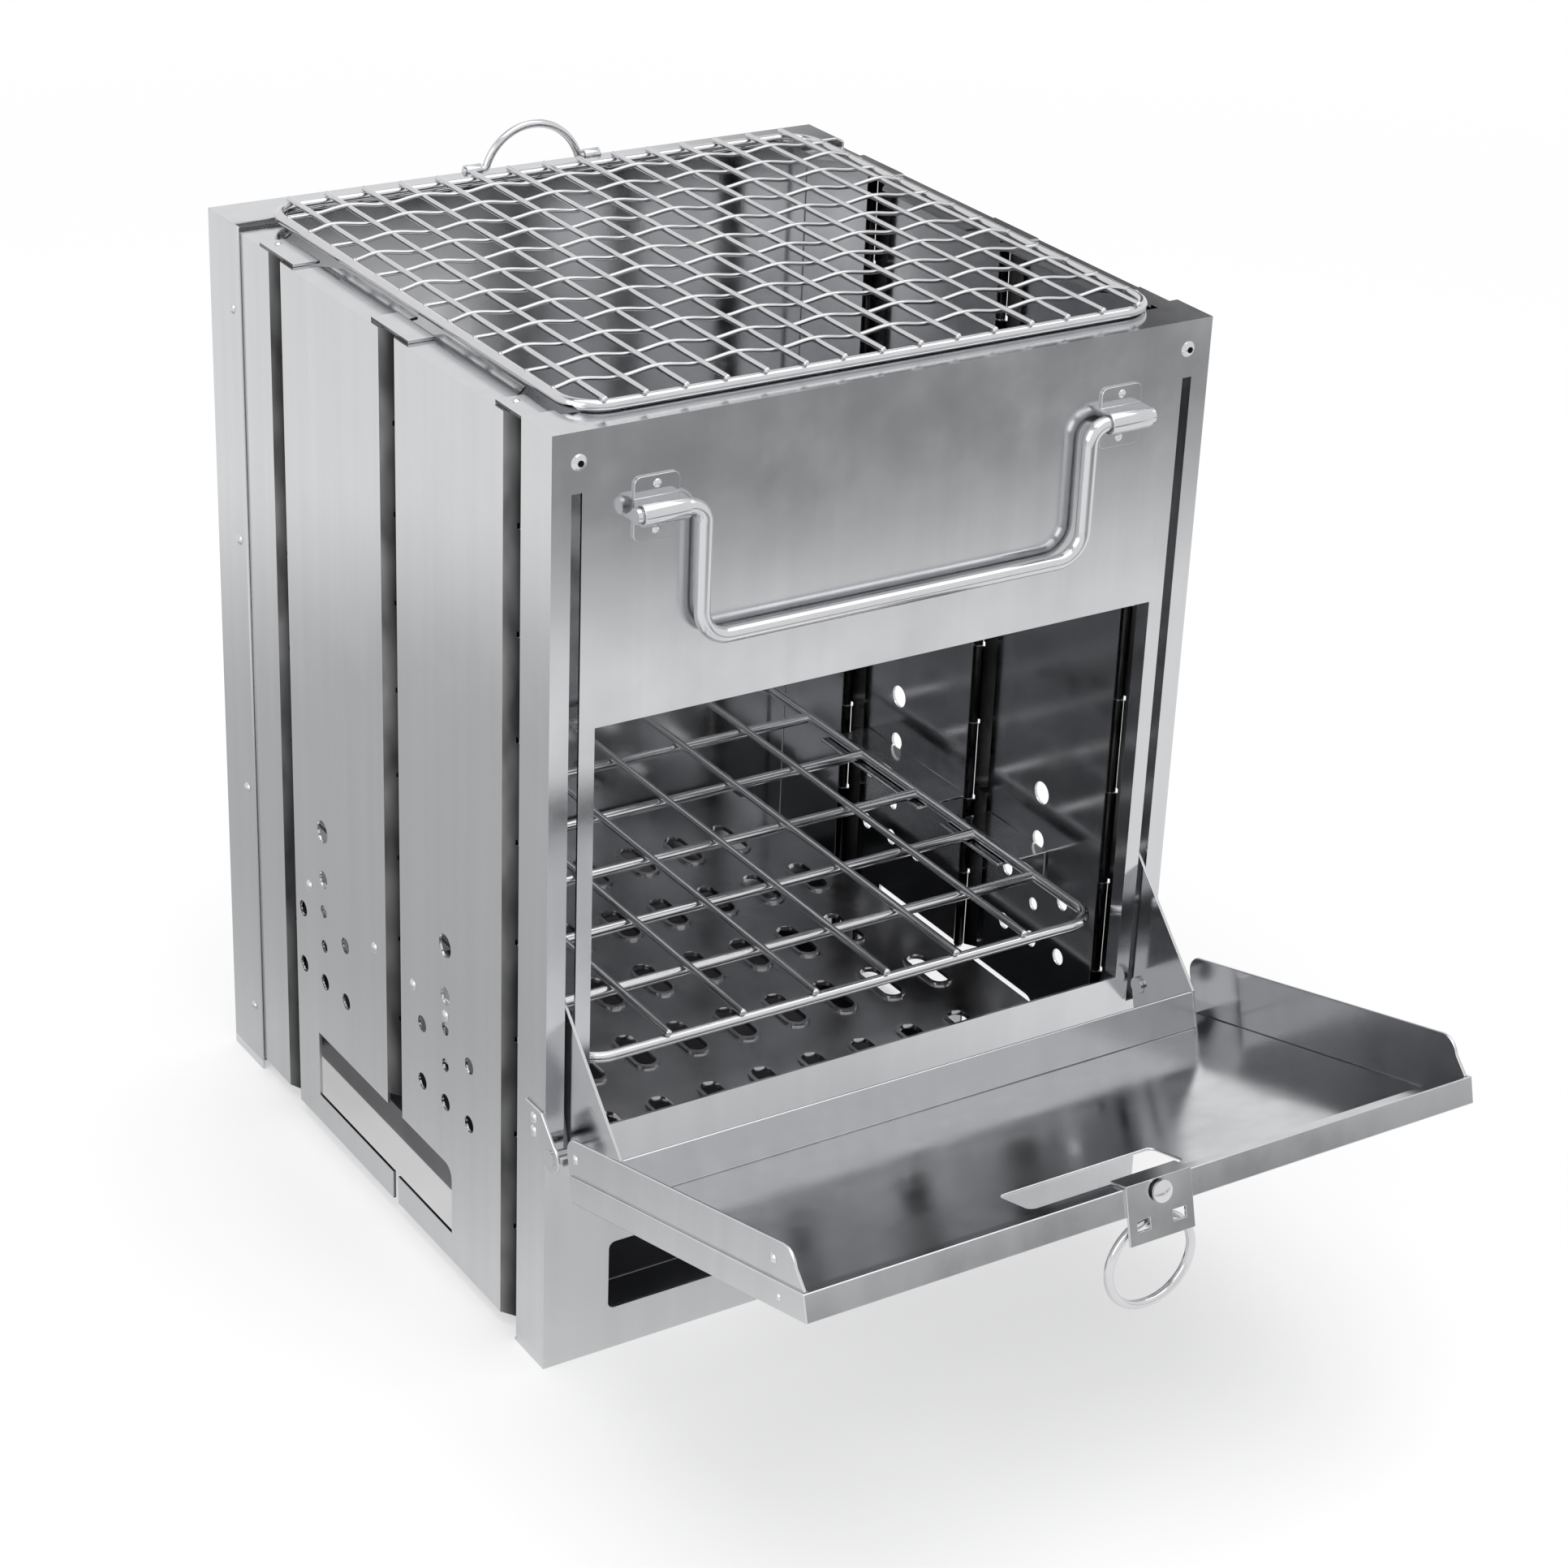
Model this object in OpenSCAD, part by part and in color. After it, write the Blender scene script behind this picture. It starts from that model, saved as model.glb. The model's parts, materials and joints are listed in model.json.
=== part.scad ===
/* [Body] */
// Width of the oven over its side walls
body_w = 200; // [190:5:240]
// Depth of the oven from front face to back face
body_d = 200; // [190:5:240]
// Height of the oven from the ground to its top edge
body_h = 270; // [255:5:320]
// Thickness of the stainless sheet
sheet = 0.8; // [0.6:0.1:1.2]
// Depth of the side flanges bent back from the front and rear sheets
flange_d = 20; // [17:1:24]
// Width of the fixed strip between the rear flange and the first hinge
strip_d = 23; // [18:1:28]
// Width of the top and bottom edges turned into the oven
turned_w = 16; // [12:1:20]
// Gap between the folding walls and the ground
wall_lift = 4; // [2:0.5:7]
// Step from the top edge of the pans down to the top of the folding walls
wall_drop = 1.8; // [1.8:0.1:3]

/* [Wall hinges] */
// Diameter of the hinge pins
pin_d = 1.5; // [1.2:0.1:1.7]
// Outer diameter of the rolled hinge barrels
barrel_d = 3; // [2.8:0.1:3]
// Width of the bent edge beside each hinge line
valley = 4.6; // [4:0.2:7]
// Number of rolled barrels along each wall hinge
barrel_count = 9; // [5:2:13]
// Free play round a pin
hinge_play = 0.05; // [0.03:0.01:0.08]

/* [Oven opening] */
// Width of the oven opening
opening_w = 174; // [160:1:180]
// Height of the lower edge of the opening
opening_low = 72; // [66:1:80]
// Height of the upper edge of the opening
opening_top = 190; // [182:1:196]
// Width of the slits in the front sheet that the door's cheeks pass through
slit_w = 3; // [2.6:0.1:3.4]
// Height of the upper end of the slits
slit_top = 254; // [240:1:256]

/* [Vents] */
// Width of the vent low in the front sheet
front_vent_w = 160; // [120:2:166]
// Height of the lower edge of the vents
vent_low = 13; // [11:1:15]
// Height of the vents
vent_h = 21.5; // [16:0.5:23]
// Reach of the side vent behind the middle hinge
vent_back = 50; // [30:1:52]
// Reach of the side vent in front of the middle hinge
vent_front = 35; // [20:1:50]
// Diameter of the uppermost air hole in each wall
air_hole_d = 7; // [5:0.5:8]

/* [Door] */
// Rise of the open door above level, in degrees
door_rise = 15; // [10:1:18]
// Length of the door from its pivot to its lip
door_len = 129.3; // [125:0.1:133]
// Distance of the door pivot in front of the front face
pivot_out = 4; // [3.5:0.1:5]
// Height of the door pivot
pivot_z = 70; // [68:1:71]
// Height of the door pan's folded rim
rim_h = 7.5; // [6:0.1:8]
// Height of the door's side wings over the pan
wing_h = 17.8; // [14:0.1:18.5]
// Side gap between the door and the oven wall
door_gap = 1.3; // [1.1:0.1:2]
// Reach of the triangular cheeks behind the pan's inner face
cheek_reach = 49; // [44:1:52]

/* [Handle and rings] */
// Diameter of the carrying handle's rod
handle_rod_d = 4.2; // [3.6:0.1:4.6]
// Width of the carrying handle between the middles of its legs
handle_w = 118; // [100:1:122]
// Drop of the carrying handle's grip below its pivot
handle_drop = 37; // [32:1:38]
// Height of the carrying handle's pivot
handle_z = 247; // [245:1:250]
// Outer diameter of the pull ring on the door
ring_d = 28; // [24:0.5:32]
// Diameter of the ring's wire
ring_wire_d = 2.5; // [2:0.1:2.6]
// Diameter of the rear loop's wire
loop_wire_d = 2.4; // [2:0.1:2.6]
// Radius of the rear loop's arch
loop_r = 16; // [13:0.5:18]

/* [Grate] */
// Diameter of the grate's rim wire
grate_rim_d = 3; // [2.6:0.1:3.6]
// Diameter of the grate's straight wires
grate_long_d = 1.6; // [1.4:0.1:2.2]
// Diameter of the grate's crimped wires
grate_cross_d = 1.3; // [1.1:0.1:1.8]
// Number of straight wires in the grate
grate_long_count = 15; // [11:2:17]
// Number of crimped wires in the grate
grate_cross_count = 12; // [9:1:13]

/* [Oven rack] */
// Height of the top of the rack rails
rail_top = 86.2; // [84:0.1:90]
// Width of the rack between the middles of its side rods
rack_w = 169; // [164:1:170]
// Diameter of the rack's frame and cross rods
rack_rod_d = 3.2; // [2.6:0.1:3.6]
// Diameter of the rack's thin rods
rack_thin_d = 2.2; // [1.8:0.1:2.6]
// Number of thin rods along the rack
rack_thin_count = 6; // [4:1:8]

/* [Fire plate and ash tray] */
// Height of the ledges that carry the fire plate
ledge_z = 46; // [44:1:50]
// Width of the fire plate
plate_w = 168; // [160:1:168]
// Length of the slots in the fire plate
slot_l = 18; // [14:1:22]
// Width of the slots in the fire plate
slot_w = 6; // [4:0.5:7]
// Width of the ash tray
tray_w = 164; // [140:1:168]
// Height of the ash tray's rim
tray_h = 10; // [6:0.5:11]

/* [Hidden] */
$fn = 48;

half_w = body_w / 2;
hinge_x = half_w - 4.6;
front_y = 0;
back_y = body_d;
mid_y = body_d / 2;
wall_top = body_h - wall_drop;

// Lines of the wall hinges, from the rear to the front
rear_line = back_y - flange_d - strip_d;
front_line = front_y + flange_d;
middle_line = (rear_line + front_line) / 2;
pin_r = pin_d / 2;
barrel_r = barrel_d / 2;
barrel_gap = 0.4;
leaf_gap = 0.25;
groove_gap = 0.4;
notch_l = 1.6;
notch_w = 2.6;
rear_owner = 0;
front_owner = 1;

vent_top = vent_low + vent_h;
middle_hinge_low = vent_top + 3.5;
corner_r = 2;

wall_turned_w = turned_w - 3;
turned_cut = 3;
tab_w = 8;
tab_l = 12;
tab_lift = 0.1;

// Heights of the air holes, their places beside the column and their share of the large one
air_holes = [
    [0, 103.5, 1], [0, 88, 0.78], [0, 77.5, 0.56], [0, 66, 0.56], [0, 54, 0.72],
    [14, 72, 0.7], [14, 53.5, 0.72], [-14, 73, 0.7], [-14, 54.5, 0.72]
];
rear_column = middle_line + 45;
front_column = middle_line - 31.5;

slit_x = half_w - 7;
slit_low = pivot_z - 7;
jamb_return = 5;

// Door sizes measured from the pivot: along the pan and up from it
pivot_y = front_y - pivot_out;
pan_low = -8.3;
pan_floor = pan_low + sheet;
pan_start = 14;
door_half_w = half_w + door_gap + 2 * sheet;
wing_back = 13;
wing_round = 5;
sill_at = 24.6;
sill_top = 3.4;
cheek_x = slit_x;
cheek_back = -3.5;
cheek_tip_w = 3.5;
door_pin_r = 1.5;
door_pin_play = 0.08;
bracket_r = 4.5;
slot_from_pivot = 101.5;
door_slot_w = 48;
door_slot_d = 14;
lip_hem = 3.8;

latch_w = 20;
latch_reach = 7.5;
eye_wall = 0.75;
ring_r = (ring_d - ring_wire_d) / 2;
eye_play = 0.35;
eye_r = ring_wire_d / 2 + eye_play + eye_wall;
eye_along = door_len - eye_r;
eye_up = pan_low - eye_r - 0.4;

rod_play = 0.1;
clip_wall = 0.8;
clip_w = 13;
handle_r = handle_rod_d / 2;
handle_y = front_y - 4;
handle_bend = 5;
grip_bend = 8;
clip_x = handle_w / 2 + handle_bend + clip_w / 2 + 0.4;

loop_clip_wall = 0.6;
loop_wire_r = loop_wire_d / 2;
loop_y = back_y - 6;
loop_z = body_h + loop_wire_r + rod_play + loop_clip_wall + 0.05;
loop_bend = 1.6;
loop_lean = 20;
loop_foot = 6;

grate_half_w = half_w - 12;
grate_front = front_y + 9;
grate_back = back_y - 14;
grate_r = grate_rim_d / 2;
grate_corner = 10;
grate_z = body_h + grate_r + 0.1;
mesh_z = grate_z + grate_r + grate_long_d / 2 - 0.2;
mesh_pitch_x = (2 * grate_half_w - 14) / (grate_long_count - 1);
mesh_pitch_y = (grate_back - grate_front - 26) / (grate_cross_count - 1);
crimp_low = -(grate_long_d + grate_cross_d) / 2 - 0.02;
crimp_high = crimp_low + 0.9;
rings_per_wire = 3;

rail_w = half_w - sheet - 81;
rail_h = 9;
rail_front = front_y + 52;
rail_gap = 6;
rack_half_w = rack_w / 2;
rack_r = rack_rod_d / 2;
rack_front = front_y + 8;
rack_back = back_y - 8;
rack_corner = 9;
rack_z = rail_top + rack_r + 0.1;
rack_cross_pitch = (rack_back - rack_front) / 6;
rack_thin_pitch = 23.4;
weld_sink = 0.3;

ledge_w = 13;
ledge_h = 8;
ledge_half_l = half_w - 20;
plate_half_d = body_d / 2 - 8;
slot_pitch_x = 17;
slot_pitch_y = 34;
emboss = 0.8;
emboss_w = 1.2;
plate_z = ledge_z + 0.1;
tray_gap = 14;
tray_lift = 0.9;

rivet_r = 1.7;
rivet_h = 0.8;

sheet_colour = "gainsboro";
wire_colour = "silver";
dark_colour = "dimgray";

// Box between two corners
module block(a, b) {
    translate(a) cube(b - a);
}

// The same thing on the left, -1, or on the right, 1
module on_side(side) {
    mirror([side < 0 ? 1 : 0, 0, 0]) children();
}

// Profile in Y and Z given a thickness along X
module side_sheet(x, points, thick = sheet) {
    translate([x, 0, 0]) rotate([90, 0, 90]) linear_extrude(thick) polygon(points);
}

// Rounded box outline round the middle of the plane
module rounded(w, h, r) {
    square([w - 2 * r, h], center = true);
    square([w, h - 2 * r], center = true);
    for (x = [-1, 1], y = [-1, 1]) translate([x * (w / 2 - r), y * (h / 2 - r)]) circle(r);
}

// Domed rivet head that sits on the plane and points up
module rivet(r = rivet_r, h = rivet_h) {
    ball = (r * r + h * h) / (2 * h);
    intersection() {
        translate([0, 0, h - ball]) sphere(ball);
        cylinder(r = r, h = h);
    }
}

module wall_rivet(y, z) {
    translate([half_w, y, z]) rotate([0, 90, 0]) rivet();
}

// One leaf of an upright hinge on the right side. dir says on which side of the pin the sheet
// lies, skin is the outer face of that sheet, and owner picks the barrels the leaf keeps. The bent
// edges of two leaves make a groove, and the barrels lie behind its bottom.
module hinge_leaf(y, skin, dir, low, high, owner, play = hinge_play) {
    x = hinge_x;
    pitch = (high - low) / barrel_count;
    bottom = x + barrel_r + leaf_gap;
    arm = [
        [skin, y + dir * valley], [skin - sheet, y + dir * valley],
        [bottom - sheet, y + dir * groove_gap], [bottom, y + dir * groove_gap]
    ];
    difference() {
        union() {
            difference() {
                translate([0, 0, low]) linear_extrude(high - low) polygon(arm);
                translate([x, y, low - 1]) cylinder(r = barrel_r + leaf_gap, h = high - low + 2);
                for (i = [1 : barrel_count - 1]) translate([bottom, y, low + i * pitch])
                    cube([2 * sheet, notch_w, notch_l], center = true);
            }
            for (i = [owner : 2 : barrel_count - 1]) translate([0, 0, low + i * pitch]) {
                translate([0, 0, notch_l / 2]) linear_extrude(pitch - notch_l) polygon(arm);
                translate([x, y, barrel_gap / 2]) cylinder(r = barrel_r, h = pitch - barrel_gap);
            }
        }
        translate([x, y, low - 1]) cylinder(r = pin_r + play, h = high - low + 2);
    }
}

module hinge_pin(x, y, low) {
    translate([x, y, low]) cylinder(r = pin_r, h = wall_top - 0.2 - low);
    translate([x, y, low - 0.6]) cylinder(r = pin_r + 0.5, h = 0.6);
}

// Edge of a wall turned into the oven along its top, cut back at both ends so that it can fold
module turned_top(skin, from, to, from_cut, to_cut) {
    translate([0, 0, wall_top - sheet]) linear_extrude(sheet) polygon([
        [skin, from], [skin, to],
        [skin - wall_turned_w, to - to_cut], [skin - wall_turned_w, from + from_cut]
    ]);
}

// Small tab that laps over the next wall's top edge
module lap_tab(y, dir, top = wall_top) {
    reach = valley + tab_l / 2;
    outer = half_w - (top > wall_top ? sheet / 2 : 1);
    inner = half_w - 1 - tab_w;
    a = min(y + dir * valley, y + dir * reach);
    b = max(y + dir * valley, y + dir * reach);
    block([inner, a, wall_top - sheet], [outer, b, max(top, wall_top + tab_lift + sheet)]);
    block([inner, y - reach, wall_top + tab_lift], [half_w - 1, y + reach, wall_top + tab_lift + sheet]);
}

module air_hole_column(y) {
    for (h = air_holes) translate([half_w, y + h[0], h[1]])
        rotate([0, 90, 0]) cylinder(r = air_hole_d * h[2] / 2, h = 12, center = true);
}

module side_vent() {
    r = 4;
    y0 = middle_line - vent_front;
    y1 = middle_line + vent_back;
    difference() {
        block([half_w - 9, y0, vent_low], [half_w + 5, y1, vent_top]);
        translate([half_w - 10, y0, vent_top]) rotate([0, 90, 0]) difference() {
            cube([2 * r, 2 * r, 40], center = true);
            translate([r, r, -21]) cylinder(r = r, h = 42);
        }
    }
}

module rear_pan() color(sheet_colour) {
    block([-half_w, back_y - sheet, 0], [half_w, back_y, body_h]);
    for (side = [-1, 1]) on_side(side)
        block([half_w - sheet, back_y - flange_d, 0], [half_w, back_y, body_h]);
    block([-half_w, back_y - turned_w, body_h - sheet], [half_w, back_y, body_h]);
    block([-half_w, back_y - turned_w, 0], [half_w, back_y, sheet]);
}

module hinge_strip(side) color(sheet_colour) on_side(side) {
    skin = half_w - sheet;
    block([skin - sheet, rear_line + valley, wall_lift], [skin, back_y - flange_d / 2, wall_top]);
    hinge_leaf(rear_line, skin, 1, wall_lift, wall_top, rear_owner);
    turned_top(skin, rear_line + valley, back_y - turned_w, wall_turned_w, 0);
    lap_tab(rear_line, 1);
}

module rear_plate_ledge() color(dark_colour) {
    inner = back_y - sheet;
    block([-ledge_half_l, inner - ledge_w, ledge_z - sheet], [ledge_half_l, inner, ledge_z]);
    block([-ledge_half_l, inner - sheet, ledge_z - ledge_h], [ledge_half_l, inner, ledge_z]);
}

module rear_rivets() color(wire_colour) {
    for (side = [-1, 1]) on_side(side) {
        for (z = [20, 95, 175, 245]) wall_rivet(back_y - flange_d + 5, z);
        tab_rivet(rear_line + valley + 3);
        translate([loop_foot_x(), loop_y - 3.4, body_h + clip_wall]) rivet(0.9, 0.4);
    }
    for (x = [-60, 0, 60]) translate([x, back_y, ledge_z - ledge_h / 2]) rotate([-90, 0, 0]) rivet();
}

module wall_hinge_pin(side, line) color(wire_colour) on_side(side) {
    low = line == middle_line ? middle_hinge_low : wall_lift;
    hinge_pin(hinge_x, line, low);
}

function loop_foot_x() = (loop_r + loop_bend) * cos(loop_lean) + loop_foot / 2;

module rear_loop_clips() color(sheet_colour) {
    r = loop_wire_r + rod_play;
    for (side = [-1, 1]) translate([side * loop_foot_x(), loop_y, 0]) difference() {
        union() {
            translate([0, 0, loop_z]) rotate([0, 90, 0])
                cylinder(r = r + loop_clip_wall, h = loop_foot - 1, center = true);
            block([-loop_foot / 2 + 0.5, -5, body_h], [loop_foot / 2 - 0.5, 0, body_h + clip_wall]);
        }
        translate([0, 0, loop_z]) rotate([0, 90, 0]) cylinder(r = r, h = 2 * loop_foot, center = true);
    }
}

// Wire loop that stands on the rear edge: an arch whose ends turn outwards into the clips
module rear_loop() color(wire_colour) translate([0, loop_y, loop_z]) rotate([90, 0, 0]) {
    centre = loop_bend - (loop_r + loop_bend) * sin(loop_lean);
    translate([0, centre, 0]) rotate([0, 0, loop_lean])
        rotate_extrude(angle = 180 - 2 * loop_lean) translate([loop_r, 0]) circle(loop_wire_r);
    for (side = [-1, 1]) mirror([side < 0 ? 1 : 0, 0, 0])
        translate([(loop_r + loop_bend) * cos(loop_lean), 0, 0]) {
            translate([0, loop_bend, 0]) rotate([0, 0, 180 + loop_lean])
                rotate_extrude(angle = 90 - loop_lean) translate([loop_bend, 0]) circle(loop_wire_r);
            rotate([0, 90, 0]) cylinder(r = loop_wire_r, h = loop_foot);
        }
}

module rear_wall(side) color(sheet_colour) on_side(side) {
    difference() {
        union() {
            block([half_w - sheet, middle_line + valley, wall_lift], [half_w, rear_line - valley, wall_top]);
            hinge_leaf(rear_line, half_w, -1, wall_lift, wall_top, front_owner);
            hinge_leaf(middle_line, half_w, 1, middle_hinge_low, wall_top, rear_owner);
            block([half_w - sheet, middle_line + 1.5, wall_lift], [half_w, middle_line + valley, vent_low]);
            turned_top(half_w, middle_line + valley, rear_line - valley, turned_cut, wall_turned_w);
            lap_tab(middle_line, 1);
        }
        air_hole_column(rear_column);
        side_vent();
    }
}

module front_wall(side) color(sheet_colour) on_side(side) {
    difference() {
        union() {
            block([half_w - sheet, front_line + valley, wall_lift], [half_w, middle_line - valley, wall_top]);
            hinge_leaf(middle_line, half_w, -1, middle_hinge_low, wall_top, front_owner);
            hinge_leaf(front_line, half_w, 1, wall_lift, wall_top, rear_owner);
            block([half_w - sheet, middle_line - valley, wall_lift], [half_w, middle_line - 1.5, vent_low]);
            turned_top(half_w, front_line + valley, middle_line - valley, wall_turned_w, turned_cut);
        }
        air_hole_column(front_column);
        side_vent();
    }
}

// Angle that carries the oven rack, riveted to a folding wall
module rack_rail(side, from, to) color(sheet_colour) on_side(side) {
    inner = half_w - sheet;
    block([inner - rail_w, from, rail_top - sheet], [inner, to, rail_top]);
    block([inner - sheet, from, rail_top - rail_h], [inner, to, rail_top]);
}

module tab_rivet(y) {
    translate([half_w - 5, y, wall_top + tab_lift + sheet]) rivet(1.2, 0.6);
}

module wall_rivets(side, ys) color(wire_colour) on_side(side) {
    for (y = ys) wall_rivet(y, rail_top - rail_h / 2);
}

module front_pan() color(sheet_colour) difference() {
    union() {
        block([-half_w, front_y, 0], [half_w, front_y + sheet, body_h]);
        block([-half_w, front_y, body_h - sheet], [half_w, front_y + turned_w - 4, body_h]);
        block([-half_w, front_y, 0], [half_w, front_y + turned_w, sheet]);
        for (side = [-1, 1]) on_side(side) {
            block([half_w - sheet, front_y, 0], [half_w, front_line - valley, body_h]);
            block([opening_w / 2, front_y, opening_low], [opening_w / 2 + sheet, front_y + jamb_return, opening_top]);
            lap_tab(front_line, -1, body_h);
            hinge_leaf(front_line, half_w, -1, wall_lift, wall_top, front_owner,
                side > 0 ? 3 * hinge_play : hinge_play);
        }
        block([-opening_w / 2 - sheet, front_y, opening_top],
            [opening_w / 2 + sheet, front_y + jamb_return, opening_top + sheet]);
    }
    block([-opening_w / 2, front_y - 1, opening_low], [opening_w / 2, front_y + sheet + 1, opening_top]);
    for (side = [-1, 1])
        block([side * slit_x - slit_w / 2, front_y - 1, slit_low], [side * slit_x + slit_w / 2, front_y + 2, slit_top]);
    translate([0, front_y + 2, (vent_low + vent_top) / 2]) rotate([90, 0, 0])
        linear_extrude(4) rounded(front_vent_w, vent_h, corner_r);
}

module front_plate_ledge() color(dark_colour) {
    inner = front_y + sheet;
    block([-ledge_half_l, inner, ledge_z - sheet], [ledge_half_l, inner + ledge_w, ledge_z]);
    block([-ledge_half_l, inner, ledge_z - ledge_h], [ledge_half_l, inner + sheet, ledge_z]);
}

module front_rivets() color(wire_colour) {
    for (side = [-1, 1]) {
        translate([side * (half_w - 7.5), front_y, body_h - 8]) rotate([90, 0, 0]) rivet(2.2, 1);
        for (z = [handle_z - 6, handle_z + 6.2])
            translate([side * clip_x, front_y - clip_wall, z]) rotate([90, 0, 0]) rivet(1.2, 0.6);
        on_side(side) {
            tab_rivet(front_line + valley + 3);
            for (z = [pivot_z + 3.5, pivot_z + 7.5]) translate([sheet, 0, 0]) wall_rivet(front_y + 5, z);
        }
    }
}

// Sheet clip whose rolled middle holds the handle's rod
module handle_clip(side) color(sheet_colour) translate([side * clip_x, 0, 0]) difference() {
    union() {
        translate([0, front_y, handle_z]) rotate([90, 0, 0]) linear_extrude(clip_wall) rounded(clip_w, 17, 2);
        translate([0, handle_y, handle_z]) rotate([0, 90, 0])
            cylinder(r = handle_r + rod_play + clip_wall, h = clip_w, center = true);
        block([-clip_w / 2, handle_y, handle_z - handle_r - clip_wall - rod_play],
            [clip_w / 2, front_y - clip_wall / 2, handle_z + handle_r + clip_wall + rod_play]);
    }
    translate([0, handle_y, handle_z]) rotate([0, 90, 0])
        cylinder(r = handle_r + rod_play, h = clip_w + 2, center = true);
}

// Bent rod handle: ends in the clips, legs down to the grip
module carry_handle() color(wire_colour) translate([0, handle_y, handle_z]) {
    leg = handle_w / 2;
    rotate([0, 90, 0]) translate([handle_drop, 0, 0])
        cylinder(r = handle_r, h = handle_w - 2 * grip_bend, center = true);
    for (side = [-1, 1]) mirror([side < 0 ? 1 : 0, 0, 0]) {
        translate([leg + handle_bend, 0, 0]) rotate([0, 90, 0])
            cylinder(r = handle_r, h = clip_x + clip_w / 2 + 1.6 - leg - handle_bend);
        translate([leg + handle_bend, 0, -handle_bend]) rotate([90, 0, 0]) rotate([0, 0, 90])
            rotate_extrude(angle = 90) translate([handle_bend, 0]) circle(handle_r);
        translate([leg, 0, grip_bend - handle_drop])
            cylinder(r = handle_r, h = handle_drop - grip_bend - handle_bend);
        translate([leg - grip_bend, 0, grip_bend - handle_drop]) rotate([90, 0, 0]) rotate([0, 0, -90])
            rotate_extrude(angle = 90) translate([grip_bend, 0]) circle(handle_r);
    }
}

module door_bracket(side) color(sheet_colour) on_side(side) difference() {
    union() {
        side_sheet(half_w, [
            [front_y + 10, pivot_z + 1], [front_y + 10, pivot_z + 11],
            [front_y + 1, pivot_z + 11], [pivot_y - 3, pivot_z + 3], [pivot_y, pivot_z - bracket_r]
        ]);
        translate([half_w, pivot_y, pivot_z]) rotate([0, 90, 0]) cylinder(r = bracket_r, h = sheet);
    }
    translate([half_w - 1, pivot_y, pivot_z]) rotate([0, 90, 0]) cylinder(r = door_pin_r, h = sheet + 2);
}

module door_pivot_pins() color(wire_colour) for (side = [-1, 1]) on_side(side)
    translate([0, pivot_y, pivot_z]) rotate([0, 90, 0]) {
        inner = cheek_x - sheet / 2 - 0.1;
        translate([0, 0, inner]) cylinder(r = door_pin_r, h = half_w + sheet - inner);
        translate([0, 0, inner - 0.9]) cylinder(r = door_pin_r + 1, h = 0.9);
        translate([0, 0, half_w + sheet]) cylinder(r = door_pin_r + 1, h = 0.4);
    }

// Places what is drawn along -Y from the pivot on the open door
module on_door() {
    translate([0, pivot_y, pivot_z]) rotate([-door_rise, 0, 0]) children();
}

module door_pan() color(sheet_colour) on_door() difference() {
    union() {
        block([-door_half_w, -door_len, pan_low], [door_half_w, -pan_start, pan_floor]);
        for (side = [-1, 1]) on_side(side)
            block([door_half_w - sheet, -door_len, pan_low], [door_half_w, -pan_start, pan_low + rim_h]);
        block([-door_half_w, -door_len, pan_low], [door_half_w, -door_len + sheet, pan_low + rim_h]);
        block([-door_half_w + 2 * sheet, -door_len, pan_low + rim_h - sheet],
            [door_half_w - 2 * sheet, -door_len + lip_hem, pan_low + rim_h]);
    }
    translate([0, -slot_from_pivot, pan_low - 1]) linear_extrude(sheet + 2)
        rounded(door_slot_w, door_slot_d, corner_r);
}

// Upper side strip of the door with a rounded end at the hinge and at the lip
module door_wing(side) color(sheet_colour) on_side(side) on_door() {
    top = pan_low + wing_h;
    r = wing_round;
    x = door_half_w - 2 * sheet;
    side_sheet(x, [
        [-wing_back, pan_floor + 2], [-wing_back, top - r], [-wing_back - r, top],
        [-door_len + sheet + r + 3, top], [-door_len + sheet + 3, top - r], [-door_len + sheet, pan_low + rim_h],
        [-door_len + sheet + 2, pan_low + rim_h - 2 * sheet],
        [-door_len + sheet + lip_hem, pan_low + rim_h - 2 * sheet], [-door_len + sheet + lip_hem, pan_floor],
        [-pan_start, pan_floor]
    ]);
    for (y = [-wing_back - r, -door_len + sheet + 3 + r])
        translate([x, y, top - r]) rotate([0, 90, 0]) cylinder(r = r, h = sheet);
}

// Upright strip across the door in front of the opening's lower edge
module door_sill_strip() color(sheet_colour) on_door() {
    w = cheek_x - sheet / 2;
    block([-w, -sill_at - sheet, pan_floor], [w, -sill_at, sill_top]);
    block([-w, -sill_at - sheet, pan_floor], [w, -pan_start - 1, pan_floor + sheet]);
}

// Triangular stay that swings through the slit and stops the door behind the front sheet
module door_cheek(side) color(sheet_colour) on_side(side) on_door() difference() {
    tip = cheek_reach + pan_low + 8.3;
    side_sheet(cheek_x - sheet / 2, [
        [-cheek_back, pan_floor], [-cheek_back, tip - 2], [-cheek_back - 1.5, tip],
        [-cheek_back - cheek_tip_w, tip], [-sill_at - sheet, sill_top], [-sill_at - sheet, pan_floor]
    ]);
    translate([cheek_x - 2, 0, 0]) rotate([0, 90, 0]) cylinder(r = door_pin_r + door_pin_play, h = 4);
    translate([cheek_x - 2, -cheek_back - 2.6, tip - 5.5]) rotate([0, 90, 0]) cylinder(r = 0.8, h = 4);
}

module door_rivets() color(wire_colour) on_door() for (side = [-1, 1]) on_side(side) {
    for (y = [-wing_back - 4.5, -door_len + 14]) translate([door_half_w - sheet, y, pan_low + rim_h + 5])
        rotate([0, 90, 0]) rivet(1.4, 0.7);
    translate([door_half_w, -door_len + 12, pan_low + 3.6]) rotate([0, 90, 0]) rivet(1, 0.5);
}

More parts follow.
